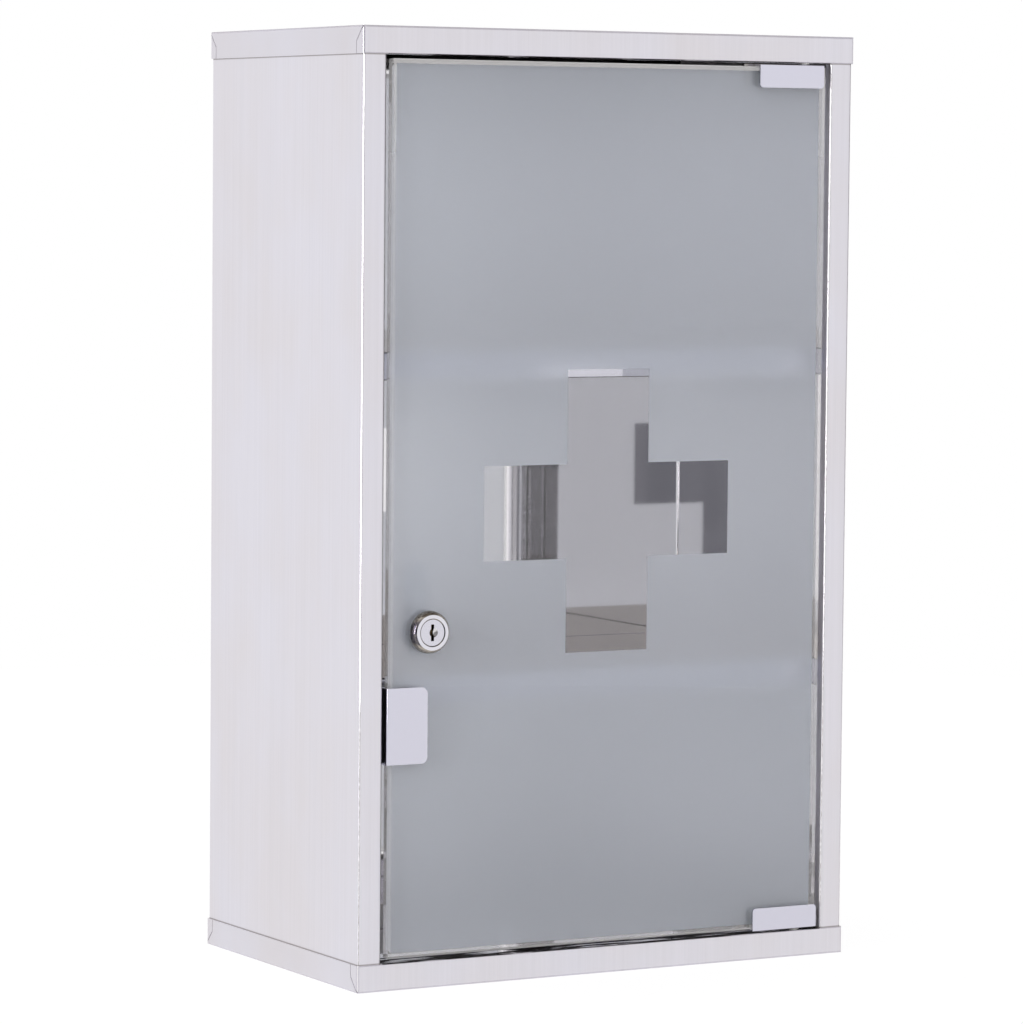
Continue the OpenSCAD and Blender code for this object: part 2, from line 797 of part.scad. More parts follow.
// The cam stands upright when the lock is open, and lies behind the frame's lip when it is shut
module lock_cam() {
    color(chrome) at_lock() difference() {
        union() {
            bar_y(cam_w, cam_y, cam_y + cam_t);
            block([-cam_w / 2, cam_y, 0], [cam_w / 2, cam_y + cam_t, cam_l - cam_w / 2]);
            translate([0, 0, cam_l - cam_w / 2]) bar_y(cam_w, cam_y, cam_y + cam_t);
        }
        block([-tang / 2, cam_y - over, -tang / 2], [tang / 2, cam_y + cam_t + over, tang / 2]);
    }
}

module cam_washer() {
    y0 = cam_y + cam_t;
    color(chrome) at_lock() lock_ring(cam_washer_d, cam_screw_d, y0, y0 + cam_washer_t);
}

module cam_screw() {
    y0 = cam_y + cam_t + cam_washer_t;
    slot_w = 1.2;
    color(chrome) at_lock() difference() {
        union() {
            bar_y(cam_screw_d, y0 - cam_screw_l, y0 + over / 2);
            bar_y(cam_screw_head_d, y0, y0 + cam_screw_head_h);
        }
        block([-slot_w / 2, y0 + cam_screw_head_h / 2, -cam_screw_head_d],
            [slot_w / 2, y0 + cam_screw_head_h + over, cam_screw_head_d]);
    }
}

// ---- magnet catch ----------------------------------------------------------------------

module catch_pocket(grow) {
    half = magnet_w / 2 + pole_t + grow;
    block([magnet_x - half, catch_y0 - over, handle_z - magnet_h / 2 - grow],
        [magnet_x + half, catch_y0 + catch_front_step + magnet_d, handle_z + magnet_h / 2 + grow]);
}

// Moulded housing, screwed to the left lip behind the handle
module catch_housing() {
    y0 = catch_y0 + catch_front_step;
    x1 = catch_x0 + catch_w;
    color("black") difference() {
        intersection() {
            block([catch_x0, y0, handle_z - catch_h / 2], [x1, y0 + catch_d, handle_z + catch_h / 2]);
            along_y(y0 - over, y0 + catch_d + over) round_rect([catch_x0 - 2 * catch_edge_r,
                handle_z - catch_h / 2], [x1, handle_z + catch_h / 2], catch_edge_r);
        }
        catch_pocket(0);
        catch_screw_places() {
            translate([0, 0, -over]) cylinder(h = catch_w + 2 * over, d = catch_screw_d);
            translate([0, 0, catch_wall]) cylinder(h = catch_w, d = catch_screw_head_d + 1);
        }
    }
}

module catch_magnet() {
    color("dimgray") block(
        [magnet_x - magnet_w / 2, catch_y0 + catch_front_step, handle_z - magnet_h / 2],
        [magnet_x + magnet_w / 2, catch_y0 + catch_front_step + magnet_d, handle_z + magnet_h / 2]);
}

module catch_poles() {
    color(chrome) for (side = [-1, 1]) {
        x = magnet_x + side * (magnet_w + pole_t) / 2;
        block([x - pole_t / 2, catch_y0, handle_z - magnet_h / 2],
            [x + pole_t / 2, catch_y0 + catch_front_step + magnet_d, handle_z + magnet_h / 2]);
    }
}

module catch_screws() {
    color(chrome) catch_screw_places() {
        translate([0, 0, catch_wall - catch_screw_l]) cylinder(h = catch_screw_l, d = catch_screw_d);
        translate([0, 0, catch_wall]) cylinder(h = catch_screw_head_h, d = catch_screw_head_d);
    }
}

body_shell();
top_cap();
bottom_cap();
lower_shelf();
upper_shelf();
shelf_rivets();
upper_bush();
lower_bush();
catch_housing();
catch_magnet();
catch_poles();
catch_screws();
door_glass();
frost_film();
upper_hinge_clip();
lower_hinge_clip();
hinge_liners();
hinge_grub_screws();
upper_pivot_pin();
lower_pivot_pin();
handle_clip();
handle_liner();
handle_grub_screws();
lock_housing();
lock_gasket();
lock_washer();
lock_nut();
lock_plug();
lock_wafers();
wafer_springs();
lock_cam();
cam_washer();
cam_screw();
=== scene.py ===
# A lockable medicine cabinet, dressed piece by piece in the order in which it is put together:
# a box of stainless sheet, its shelves and catch, then the frosted glass door and its lock.
import bpy
import math
from mathutils import Matrix, Vector


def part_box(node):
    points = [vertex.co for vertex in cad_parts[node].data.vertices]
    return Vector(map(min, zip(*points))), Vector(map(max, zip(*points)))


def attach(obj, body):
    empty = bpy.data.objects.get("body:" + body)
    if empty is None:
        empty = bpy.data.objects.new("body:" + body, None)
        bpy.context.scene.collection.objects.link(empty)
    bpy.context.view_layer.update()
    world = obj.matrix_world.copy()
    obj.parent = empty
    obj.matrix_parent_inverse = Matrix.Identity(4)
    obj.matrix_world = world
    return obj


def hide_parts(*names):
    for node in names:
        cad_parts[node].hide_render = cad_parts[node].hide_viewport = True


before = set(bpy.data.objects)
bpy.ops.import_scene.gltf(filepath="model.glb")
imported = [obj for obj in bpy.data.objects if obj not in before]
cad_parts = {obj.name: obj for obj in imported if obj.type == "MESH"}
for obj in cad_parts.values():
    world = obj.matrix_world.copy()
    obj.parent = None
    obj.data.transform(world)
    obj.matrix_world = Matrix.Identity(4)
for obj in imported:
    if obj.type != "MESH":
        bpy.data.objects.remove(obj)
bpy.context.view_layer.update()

# ---- Body sheet ---------------------------------------------------------------------------
# One sheet of 0.8 mm stainless steel, folded into both sides, the back and the front frame.
# Its outside is brushed up and down. Its inside keeps the bright finish of the mill, which
# mirrors like a dull looking glass.

MM = 0.001
SHEET = 0.8 * MM
NOISE_SPAN = (0.3, 0.7)
NOISE_MIDDLE = (0.35, 0.65)


def new_finish(name):
    """An empty material, filled by put()."""
    finish = bpy.data.materials.new(name)
    finish.use_nodes = True
    finish.node_tree.nodes.clear()
    return finish


def put(finish, kind, inputs, **settings):
    """Adds a node. An input is a plain value or another node's output."""
    made = finish.node_tree.nodes.new("ShaderNode" + kind)
    for setting, value in settings.items():
        setattr(made, setting, value)
    for name, value in inputs.items():
        if isinstance(value, bpy.types.NodeSocket):
            finish.node_tree.links.new(value, made.inputs[name])
        else:
            made.inputs[name].default_value = value
    return made


def where(finish):
    """The x, y and z of the place on the surface."""
    return put(finish, "SeparateXYZ", {0: put(finish, "TexCoord", {}).outputs["Object"]}).outputs


def facing(finish):
    """The x, y and z of the way in which the surface faces."""
    return put(finish, "SeparateXYZ", {0: put(finish, "TexCoord", {}).outputs["Normal"]}).outputs


def clouds(finish, cell, detail):
    """A cloudy pattern from 0 to 1 with cells of that size along x, y and z, in metres."""
    place = put(finish, "TexCoord", {}).outputs["Object"]
    scaled = put(finish, "Mapping", {"Vector": place, "Scale": [1 / c for c in cell]}).outputs[0]
    return put(finish, "TexNoise", {"Vector": scaled, "Scale": 1.0, "Detail": detail}).outputs[0]


def carried(finish, value, low, high, at_low, at_high):
    """The value, with low to high carried over to at_low to at_high and held at both ends."""
    return put(finish, "MapRange", {
        "Value": value, "From Min": low, "From Max": high, "To Min": at_low, "To Max": at_high,
    }).outputs[0]


def sums(finish, operation, first, second):
    """Two numbers put together by that operation."""
    return put(finish, "Math", {0: first, 1: second}, operation=operation).outputs[0]


def off(finish, value, middle=0):
    """How far the value is from that middle."""
    return sums(finish, "ABSOLUTE", sums(finish, "SUBTRACT", value, middle), 0)


def below(finish, value, limit):
    """1 where the value is under the limit, and 0 elsewhere."""
    return sums(finish, "LESS_THAN", value, limit)


def above(finish, value, limit):
    """1 where the value is over the limit, and 0 elsewhere."""
    return sums(finish, "GREATER_THAN", value, limit)


def all_of(finish, *shares):
    """The shares multiplied: 1 only where each of them is 1."""
    product = shares[0]
    for share in shares[1:]:
        product = sums(finish, "MULTIPLY", product, share)
    return product


def any_of(finish, *shares):
    """The largest of the shares."""
    largest = shares[0]
    for share in shares[1:]:
        largest = sums(finish, "MAXIMUM", largest, share)
    return largest


def two_tone(finish, share, first, second):
    """A colour between two colours."""
    return put(finish, "Mix", {0: share, 6: first, 7: second}, data_type="RGBA").outputs[2]


def between(finish, share, first, second):
    """A number between two numbers."""
    return put(finish, "Mix", {0: share, 2: first, 3: second}).outputs[0]


def mixed(finish, share, first, second):
    """A shader between two shaders."""
    return put(finish, "MixShader", {0: share, 1: first.outputs[0], 2: second.outputs[0]})


def relief(finish, height, depth):
    """The surface normal over a pattern that stands out by that depth, in metres."""
    return put(finish, "Bump", {"Height": height, "Distance": depth}).outputs[0]


def finished(finish, shader):
    """Closes a material with its surface shader."""
    put(finish, "OutputMaterial", {"Surface": shader.outputs[0]})
    return finish


def dress(finish, *nodes):
    """Gives CAD nodes that material."""
    for node in nodes:
        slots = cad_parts[node].data.materials
        slots.clear()
        slots.append(finish)


STILL_FOLD = 0.90
ALREADY_FLAT = 0.998


def bent(finish):
    """1 on folds and rounded edges, and 0 on flat faces square to an axis."""
    straightest = any_of(finish, *[off(finish, part) for part in facing(finish)])
    return carried(finish, straightest, STILL_FOLD, ALREADY_FLAT, 1, 0)


def inside(finish, half_x, half_y, low_z, high_z):
    """1 where the surface lies inside that upright box round the Z axis, and 0 outside it."""
    x, y, z = where(finish)
    return all_of(finish, below(finish, off(finish, x), half_x), below(finish, off(finish, y), half_y),
                  above(finish, z, low_z), below(finish, z, high_z))


# The outside is a fine brushed grain in wider bands, toned and dulled a little by handling.
BRUSHED_LIGHT = (0.768, 0.751, 0.808, 1)
BRUSHED_DARK = (0.736, 0.720, 0.773, 1)
BRUSHED_ROUGH = (0.34, 0.42)
BRUSHED_RELIEF = 0.5
WARM = (1.0, 0.985, 0.955, 1)
COOL = (1.0, 1.0, 1.0, 1)
HAND_MARKS = (60 * MM, 60 * MM, 90 * MM)
BAND_WIDTH = 6
LINE_SHARE = 0.45
STREAK_SPAN = (0.36, 0.64)
GRAIN_PULL = 0.5
GRAIN_DEPTH = 0.02 * MM
# The inside is bright, with a fine speckle.
BRIGHT_LIGHT = (0.900, 0.885, 0.902, 1)
BRIGHT_DARK = (0.830, 0.815, 0.830, 1)
BRIGHT_ROUGH = (0.02, 0.05)
BRIGHT_RELIEF = 0.04
SPECKLE = (0.5 * MM, 0.5 * MM, 0.7 * MM)
FOLD_RELIEF = 0.1
UNTINTED = (1, 1, 1, 1)


def stainless(name, grain, grain_way, mirror_box, fold, joints_and_painted_shade,
              bright_tones=(BRIGHT_DARK, BRIGHT_LIGHT), grazed=UNTINTED, turned_in=None):
    """Stainless sheet: brushed outside mirror_box and bright inside it. grain is the size of
    the brushed lines along x, y and z, and grain_way the way that they run. fold is how rough
    a fold is beside the flat. The list of dark places pairs each place with its dark colour;
    they are dark joints, painted shade and painted reflections. grazed is the tint of what the
    sheet mirrors at a low angle, and turned_in tells where the brushed side is folded into the box."""
    steel = new_finish(name)
    lines = clouds(steel, grain, detail=4)
    bands = clouds(steel, [BAND_WIDTH * g for g in grain], detail=3)
    handling = clouds(steel, HAND_MARKS, detail=4)
    speckle = clouds(steel, SPECKLE, detail=4)
    bright = inside(steel, *mirror_box)
    if turned_in:
        bright = all_of(steel, bright, sums(steel, "SUBTRACT", 1, turned_in(steel)))
    folded = bent(steel)
    streaks = sums(steel, "ADD", sums(steel, "MULTIPLY", lines, LINE_SHARE),
                   sums(steel, "MULTIPLY", bands, 1 - LINE_SHARE))
    brushed = two_tone(steel, carried(steel, streaks, *STREAK_SPAN, 0, 1), BRUSHED_DARK, BRUSHED_LIGHT)
    toned = two_tone(steel, carried(steel, handling, *NOISE_MIDDLE, 0, 1), COOL, WARM)
    brushed = put(steel, "Mix", {0: 1.0, 6: brushed, 7: toned}, data_type="RGBA",
                  blend_type="MULTIPLY").outputs[2]
    milled = two_tone(steel, carried(steel, speckle, *NOISE_SPAN, 0, 1), *bright_tones)
    rough = between(steel, bright, carried(steel, handling, *NOISE_SPAN, *BRUSHED_ROUGH),
                    carried(steel, speckle, *NOISE_SPAN, *BRIGHT_ROUGH))
    depth = all_of(steel, carried(steel, bright, 0, 1, BRUSHED_RELIEF, BRIGHT_RELIEF),
                   carried(steel, folded, 0, 1, 1, FOLD_RELIEF))
    look = put(steel, "BsdfPrincipled", {
        "Base Color": two_tone(steel, bright, brushed, milled),
        "Metallic": 1.0,
        "Roughness": all_of(steel, rough, carried(steel, folded, 0, 1, 1, fold)),
        "Specular Tint": grazed,
        "Anisotropic": GRAIN_PULL,
        "Tangent": put(steel, "CombineXYZ", dict(enumerate(grain_way))).outputs[0],
        "Normal": relief(steel, all_of(steel, lines, depth), GRAIN_DEPTH),
    })
    # Each dark place mixes in a dark diffuse colour: a dark joint, painted shade or a painted reflection.
    for darkened, shade in joints_and_painted_shade:
        look = mixed(steel, darkened(steel), look, put(steel, "BsdfDiffuse", {"Color": shade}))
    return finished(steel, look)


BODY_GRAIN = (0.35 * MM, 0.35 * MM, 45 * MM)
UP = (0, 0, 1)
FOLD_AS_FLAT = 1.0
FAR = 1000 * MM
body_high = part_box("body_shell")[1]
body_inside = (body_high.x - SHEET / 2, body_high.y - SHEET / 2, -FAR, FAR)
cabinet_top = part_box("top_cap")[1].z
SKIRT = 14.5 * MM
SEAM_SHADE = (0.30, 0.27, 0.26, 1)
SEAM_SHARE = 0.75
SEAM_CORE = 0.25 * MM
SEAM_REACH = 0.75 * MM


def from_ends(steel):
    """How far a place is from the nearer end of the cabinet."""
    return sums(steel, "SUBTRACT", cabinet_top / 2, off(steel, where(steel)[2], cabinet_top / 2))


def under_caps(steel):
    """The joints along the edges of the two caps' skirts."""
    past_skirt = sums(steel, "SUBTRACT", from_ends(steel), SKIRT)
    return carried(steel, past_skirt, SEAM_CORE, SEAM_REACH, SEAM_SHARE, 0)


LIP_MIDDLE = 135.8 * MM
LIP_BRUSHED = -84 * MM


def lip_faces(steel):
    """The front of the frame's lips, where they face the edge of the pane."""
    x, y, _ = where(steel)
    return all_of(steel, below(steel, off(steel, x), LIP_MIDDLE), below(steel, y, LIP_BRUSHED))


# Painted shade, mottled dark brown, in the recessed corners behind the front frame.
CORNER_SHADE = (0.13, 0.11, 0.10, 1)
CORNER_SHARE = (0.12, 0.44)
CORNER_CELL = (1.2 * MM, 1.2 * MM, 2.4 * MM)
CORNER_DEPTH = -70 * MM


def corners_painted_shade(steel):
    """The inner corners behind the front frame, darkened with mottled painted shade."""
    x, y, _ = where(steel)
    mottled = carried(steel, clouds(steel, CORNER_CELL, detail=4), *NOISE_MIDDLE, *CORNER_SHARE)
    return all_of(steel, below(steel, y, CORNER_DEPTH), above(steel, off(steel, x), LIP_MIDDLE),
                  inside(steel, *body_inside), mottled)


# Painted shade, nearly black, along the top of the back wall under the cap.
ROOF_SHADE = (0.012, 0.011, 0.011, 1)
ROOF_SHARE = 0.97
ROOF_CELL = (55 * MM, 9 * MM, 900 * MM)
ROOF_WAVE = 1.5 * MM
ROOF_START = 14.2 * MM
ROOF_FULL = 13.4 * MM


def roof_painted_shade(steel):
    """The top of the back wall, with painted shade where the cap keeps the light away."""
    _, y, z = where(steel)
    wave = carried(steel, clouds(steel, ROOF_CELL, detail=1), *NOISE_MIDDLE, 0, ROOF_WAVE)
    shaded = carried(steel, sums(steel, "SUBTRACT", z, wave),
                     cabinet_top - ROOF_START, cabinet_top - ROOF_FULL, 0, ROOF_SHARE)
    return all_of(steel, shaded, above(steel, y, body_inside[1] - SHEET))


dress(stainless("steel_body", BODY_GRAIN, UP, body_inside, FOLD_AS_FLAT,
                [(under_caps, SEAM_SHADE), (roof_painted_shade, ROOF_SHADE), (corners_painted_shade, CORNER_SHADE)],
                turned_in=lip_faces), "body_shell")

# ---- End caps -----------------------------------------------------------------------------
# Two trays of the same sheet, pressed over the ends of the body. Their grain runs from front
# to back, and so down the front and back skirts and along the side ones.

CAP_GRAIN = (0.35 * MM, 40 * MM, 40 * MM)
CAP_GRAIN_WAY = (0, 1, 0.05)
CAP_FOLD = 2.4
cap_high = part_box("top_cap")[1]
cap_inside = (cap_high.x - SHEET / 2, cap_high.y - SHEET / 2, SHEET / 2, cap_high.z - SHEET / 2)
# A painted dark reflection on the turned-in edges of the caps beside the door.
RETURN_SHADE = (0.014, 0.012, 0.012, 1)
RETURN_SHARE = (0.95, 0.1)
RETURN_CELL = (38 * MM, 3 * MM, 3 * MM)
RETURN_WAVE = (0.54, 0.60)
RETURN_HALF = 135 * MM
RETURN_FRONT = -71 * MM
RETURN_DEPTH = 0.35 * MM


def returns_painted_reflection(steel):
    """The turned-in edges that close the caps beside the door, with a painted reflection: dark, with wavy
    bright lines.
    """
    x, y, _ = where(steel)
    return all_of(steel, above(steel, from_ends(steel), SKIRT - RETURN_DEPTH),
                  below(steel, off(steel, x), RETURN_HALF), below(steel, y, RETURN_FRONT),
                  carried(steel, clouds(steel, RETURN_CELL, detail=1), *RETURN_WAVE, *RETURN_SHARE))


dress(stainless("steel_caps", CAP_GRAIN, CAP_GRAIN_WAY, cap_inside, CAP_FOLD,
                [(returns_painted_reflection, RETURN_SHADE)]), "top_cap", "bottom_cap")

# ---- Shelves ------------------------------------------------------------------------------
# Two folded trays of bright sheet, with a lip down at the front and flanges down at the back
# and the ends. Their tops are dulled by use, and dirt lies in the joint along the sides.

SHELF_GRAIN = (60 * MM, 0.6 * MM, 60 * MM)
SIDEWAYS = (1, 0, 0)
EVERYWHERE = (FAR, FAR, -FAR, FAR)
SHELF_TONES = ((0.60, 0.59, 0.65, 1), (0.63, 0.62, 0.69, 1))
SHELF_GRAZED = (0.51, 0.455, 0.40, 1)
SHELF_LIP = 14.5 * MM
LIP_SHADE_REACH = 0.4 * MM
# Dark joints along the shelves' ends, and a thin painted shade line under their front lips, share this
# colour.
JOINT_AND_LIP_SHADE = (0.05, 0.045, 0.04, 1)
JOINT_SHARE = 0.9
JOINT_START = 2.4 * MM
JOINT_FULL = 1.2 * MM
shelf_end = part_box("lower_shelf")[1].x
shelf_tops = [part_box(shelf)[1].z for shelf in ("lower_shelf", "upper_shelf")]


def under_lips_painted_shade(steel):
    """The lower edges of the shelves' front lips, where a thin line of painted shade lies."""
    height = where(steel)[2]
    return any_of(steel, *[below(steel, off(steel, height, top - SHELF_LIP), LIP_SHADE_REACH)
                           for top in shelf_tops])


def along_ends(steel):
    """The joints between the shelves and the sides."""
    return carried(steel, off(steel, where(steel)[0]),
                   shelf_end - JOINT_START, shelf_end - JOINT_FULL, 0, JOINT_SHARE)


dress(stainless("steel_shelves", SHELF_GRAIN, SIDEWAYS, EVERYWHERE, FOLD_AS_FLAT,
                [(under_lips_painted_shade, JOINT_AND_LIP_SHADE), (along_ends, JOINT_AND_LIP_SHADE)],
                bright_tones=SHELF_TONES, grazed=SHELF_GRAZED), "lower_shelf", "upper_shelf")

# ---- Rivets, screws and pins ----------------------------------------------------------------
# Blind rivets of aluminium hold the shelves to the back. Screws, pole plates, pivot pins and
# the lock's small parts are zinc plated steel.

METAL_CELL = 0.8 * MM
MARK_WIDTH = 9
METAL_DEPTH = 0.01 * MM
ROUGHNESS_SPREAD = 0.2
WELD_REACH = 0.001 * MM
EASED_STEPS = 3
SHARP = math.radians(40)
SMALL_EASED = 0.2 * MM


def plain_metal(name, light, dark, rough):
    """Metal with a fine uneven skin: light and dark are its colours, rough its roughness."""
    metal = new_finish(name)
    mottle = clouds(metal, [METAL_CELL] * 3, detail=4)
    marks = clouds(metal, [MARK_WIDTH * METAL_CELL] * 3, detail=3)
    return finished(metal, put(metal, "BsdfPrincipled", {
        "Base Color": two_tone(metal, carried(metal, marks, *NOISE_MIDDLE, 0, 1), dark, light),
        "Metallic": 1.0,
        "Roughness": carried(metal, mottle, *NOISE_SPAN,
                             (1 - ROUGHNESS_SPREAD) * rough, (1 + ROUGHNESS_SPREAD) * rough),
        "Normal": relief(metal, mottle, METAL_DEPTH),
    }))


def eased(width, *nodes):
    """Rounds the sharp edges of CAD nodes over that width."""
    for node in nodes:
        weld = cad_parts[node].modifiers.new("weld", "WELD")
        weld.merge_threshold = WELD_REACH
        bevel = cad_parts[node].modifiers.new("edge", "BEVEL")
        bevel.width = width
        bevel.segments = EASED_STEPS
        bevel.limit_method = "ANGLE"
        bevel.angle_limit = SHARP
        bevel.harden_normals = True


dress(plain_metal("rivet_aluminium", light=(0.72, 0.72, 0.73, 1), dark=(0.60, 0.60, 0.61, 1), rough=0.35),
      "shelf_rivets")
dress(plain_metal("zinc_plate", light=(0.66, 0.67, 0.70, 1), dark=(0.52, 0.53, 0.57, 1), rough=0.28),
      "catch_poles", "catch_screws", "upper_pivot_pin", "lower_pivot_pin",
      "lock_washer", "lock_nut", "lock_cam", "cam_washer", "cam_screw")
eased(SMALL_EASED, "lock_nut", "lock_washer", "lock_cam", "cam_washer", "cam_screw")

# ---- Pivot bushes -------------------------------------------------------------------------
# Small collars of natural nylon, pressed into the turned-in flanges of the caps. The pivot
# pins turn in them.

WORN_SHARE = 0.8
MOULD_SPREAD = 0.08


def moulded(name, colour, rough, cell, depth):
    """Moulded plastic with the fine grain of its mould."""
    plastic = new_finish(name)
    grain = clouds(plastic, [cell] * 3, detail=5)
    worn = tuple(WORN_SHARE * c for c in colour[:3]) + (1,)
    return finished(plastic, put(plastic, "BsdfPrincipled", {
        "Base Color": two_tone(plastic, carried(plastic, grain, *NOISE_SPAN, 0, 1), worn, colour),
        "Roughness": carried(plastic, grain, *NOISE_SPAN, rough - MOULD_SPREAD, rough + MOULD_SPREAD),
        "Normal": relief(plastic, grain, depth),
    }))


dress(moulded("natural_nylon", (0.80, 0.79, 0.75, 1), rough=0.45, cell=1.5 * MM, depth=0.01 * MM),
      "upper_bush", "lower_bush")

# ---- Magnet catch ---------------------------------------------------------------------------
# A black moulded housing, screwed to the left lip behind the handle, holds a ferrite magnet
# between two steel pole plates.

dress(moulded("black_housing", (0.022, 0.022, 0.024, 1), rough=0.42, cell=0.6 * MM, depth=0.04 * MM),
      "catch_housing")
eased(SMALL_EASED, "catch_housing")
dress(moulded("ferrite", (0.05, 0.05, 0.052, 1), rough=0.65, cell=0.4 * MM, depth=0.05 * MM),
      "catch_magnet")

# ---- Glass pane -----------------------------------------------------------------------------
# A 5 mm pane of float glass with ground edges and bevels, and a light haze on the margin round
# the frosting. Lamps shine through it, so a shadow ray passes with the little that it takes away.

GLASS_TINT = (0.99, 0.991, 0.992, 1)
GLASS_BENDING = 1.5
RIPPLE_CELL = (120 * MM, 120 * MM, 120 * MM)
RIPPLE_DEPTH = 0.02 * MM
pane = new_finish("clear_glass")
pane_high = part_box("door_glass")[1]
frost_low, frost_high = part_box("frost_film")
clear = put(pane, "BsdfPrincipled", {
    "Base Color": GLASS_TINT,
    "Roughness": 0.0,
    "IOR": GLASS_BENDING,
    "Transmission Weight": 1.0,
    "Normal": relief(pane, clouds(pane, RIPPLE_CELL, detail=2), RIPPLE_DEPTH),
})

MARGIN_TINT = (0.78, 0.765, 0.76, 1)
MARGIN_SHARE = (0.17, 0.5)
MARGIN_RISE = 80 * MM
FROST_OVERLAP = 0.1 * MM
pane_x, _, pane_z = where(pane)
margin = any_of(pane, above(pane, off(pane, pane_x), frost_high.x - FROST_OVERLAP),
                above(pane, pane_z, frost_high.z - FROST_OVERLAP),
                below(pane, pane_z, frost_low.z + FROST_OVERLAP))
hazed = all_of(pane, margin, carried(pane, pane_z, pane_high.z - MARGIN_RISE, pane_high.z, *MARGIN_SHARE))
faced = mixed(pane, hazed, clear, put(pane, "BsdfDiffuse", {"Color": MARGIN_TINT}))

GROUND = (0.90, 0.885, 0.875, 1)
GROUND_CLEAR = (0.95, 0.95, 0.95, 1)
STONE_CELL = (0.3 * MM, 0.3 * MM, 0.3 * MM)
STONE_DEPTH = 0.02 * MM
TURNING_OFF = (0.93, 0.97)
TURNING_UPRIGHT = (0.3, 0.6)
EDGE_SHARE = (0.45, 0.95)
THROUGH_SHARE = (0.2, 0.8)


def off_front(finish):
    """1 where the surface faces neither the front nor the back."""
    return carried(finish, off(finish, facing(finish)["Y"]), *TURNING_OFF, 1, 0)


upright_edge = carried(pane, off(pane, facing(pane)["X"]), *TURNING_UPRIGHT, 0, 1)
stone = relief(pane, clouds(pane, STONE_CELL, detail=4), STONE_DEPTH)
ground = mixed(pane, carried(pane, upright_edge, 0, 1, *THROUGH_SHARE),
               put(pane, "BsdfDiffuse", {"Color": GROUND, "Normal": stone}),
               put(pane, "BsdfTransparent", {"Color": GROUND_CLEAR}))
edge = all_of(pane, off_front(pane), carried(pane, upright_edge, 0, 1, *EDGE_SHARE))
lamp_ray = put(pane, "LightPath", {}).outputs["Is Shadow Ray"]
dress(finished(pane, mixed(pane, lamp_ray, mixed(pane, edge, faced, ground),
                           put(pane, "BsdfTransparent", {"Color": GLASS_TINT}))), "door_glass")

# ---- Frosting -------------------------------------------------------------------------------
# The back of the pane is frosted, but for a clear cross, a clear margin and the lock's hole.
# It passes most light and scatters it, so that the shelves show through as soft pale bands.

CROSS_LENGTH = 150 * MM
CROSS_WIDTH = 50 * MM
CROSS_HEIGHT = 247 * MM
FROST_CORNER = 3 * MM
FROST_LIFT = 0.02 * MM
CORNER_STEPS = 8
LOCK_HOLE = 19 * MM
HOLE_POINTS = 48
lock_low, lock_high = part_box("lock_gasket")
lock_middle = (lock_low + lock_high) / 2


def arc(centre, radius, start, end, steps):
    """Points along an arc, in degrees."""
    turns = [math.radians(start + (end - start) * k / steps) for k in range(steps + 1)]
    return [(centre[0] + radius * math.cos(t), centre[1] + radius * math.sin(t)) for t in turns]


def rounded_outline(low, high, radius):
    """A rectangle with round corners, as points."""
    corners = [(high, low, -90), (high, high, 0), (low, high, 90), (low, low, 180)]
    points = []
    for across, up, start in corners:
        centre = (across[0] + (radius if across is low else -radius),
                  up[1] + (radius if up is low else -radius))
        points += arc(centre, radius, start, start + 90, CORNER_STEPS)
    return points


def cut_sheet(name, outlines, front, back):
    """A flat sheet in the X-Z plane with holes: the first outline is its edge."""
    flat = bpy.data.curves.new(name, "CURVE")
    flat.dimensions = "2D"
    flat.fill_mode = "BOTH"
    flat.extrude = (back - front) / 2
    for outline in outlines:
        line = flat.splines.new("POLY")
        line.use_cyclic_u = True
        line.points.add(len(outline) - 1)
        for point, (x, z) in zip(line.points, outline):
            point.co = (x, z, 0, 1)
    made = as_mesh(name, flat)
    made.data.transform(Matrix.Rotation(math.pi / 2, 4, "X"))
    made.data.transform(Matrix.Translation((0, (front + back) / 2, 0)))
    return made


def as_mesh(name, drawn):
    """An object with the mesh of a drawn curve."""
    drawing = bpy.data.objects.new(name + "_drawn", drawn)
    bpy.context.scene.collection.objects.link(drawing)
    mesh = bpy.data.meshes.new_from_object(drawing.evaluated_get(bpy.context.evaluated_depsgraph_get()))
    bpy.data.objects.remove(drawing)
    mesh.materials.clear()
    made = bpy.data.objects.new(name, mesh)
    bpy.context.scene.collection.objects.link(made)
    return made


half_width, half_length = CROSS_WIDTH / 2, CROSS_LENGTH / 2
arm = [(half_width, half_width), (half_width, half_length), (-half_width, half_length)]
quarter_turns = [(1, 0), (0, 1), (-1, 0), (0, -1)]
cross = [(x * c - z * s, x * s + z * c + CROSS_HEIGHT) for c, s in quarter_turns for x, z in arm]
frosting = cut_sheet("frosting", [
    rounded_outline((frost_low.x, frost_low.z), (frost_high.x, frost_high.z), FROST_CORNER),
    cross,
    arc((lock_middle.x, lock_middle.z), LOCK_HOLE / 2, 0, 360 - 360 / HOLE_POINTS, HOLE_POINTS - 1),
], frost_low.y + FROST_LIFT, frost_high.y)

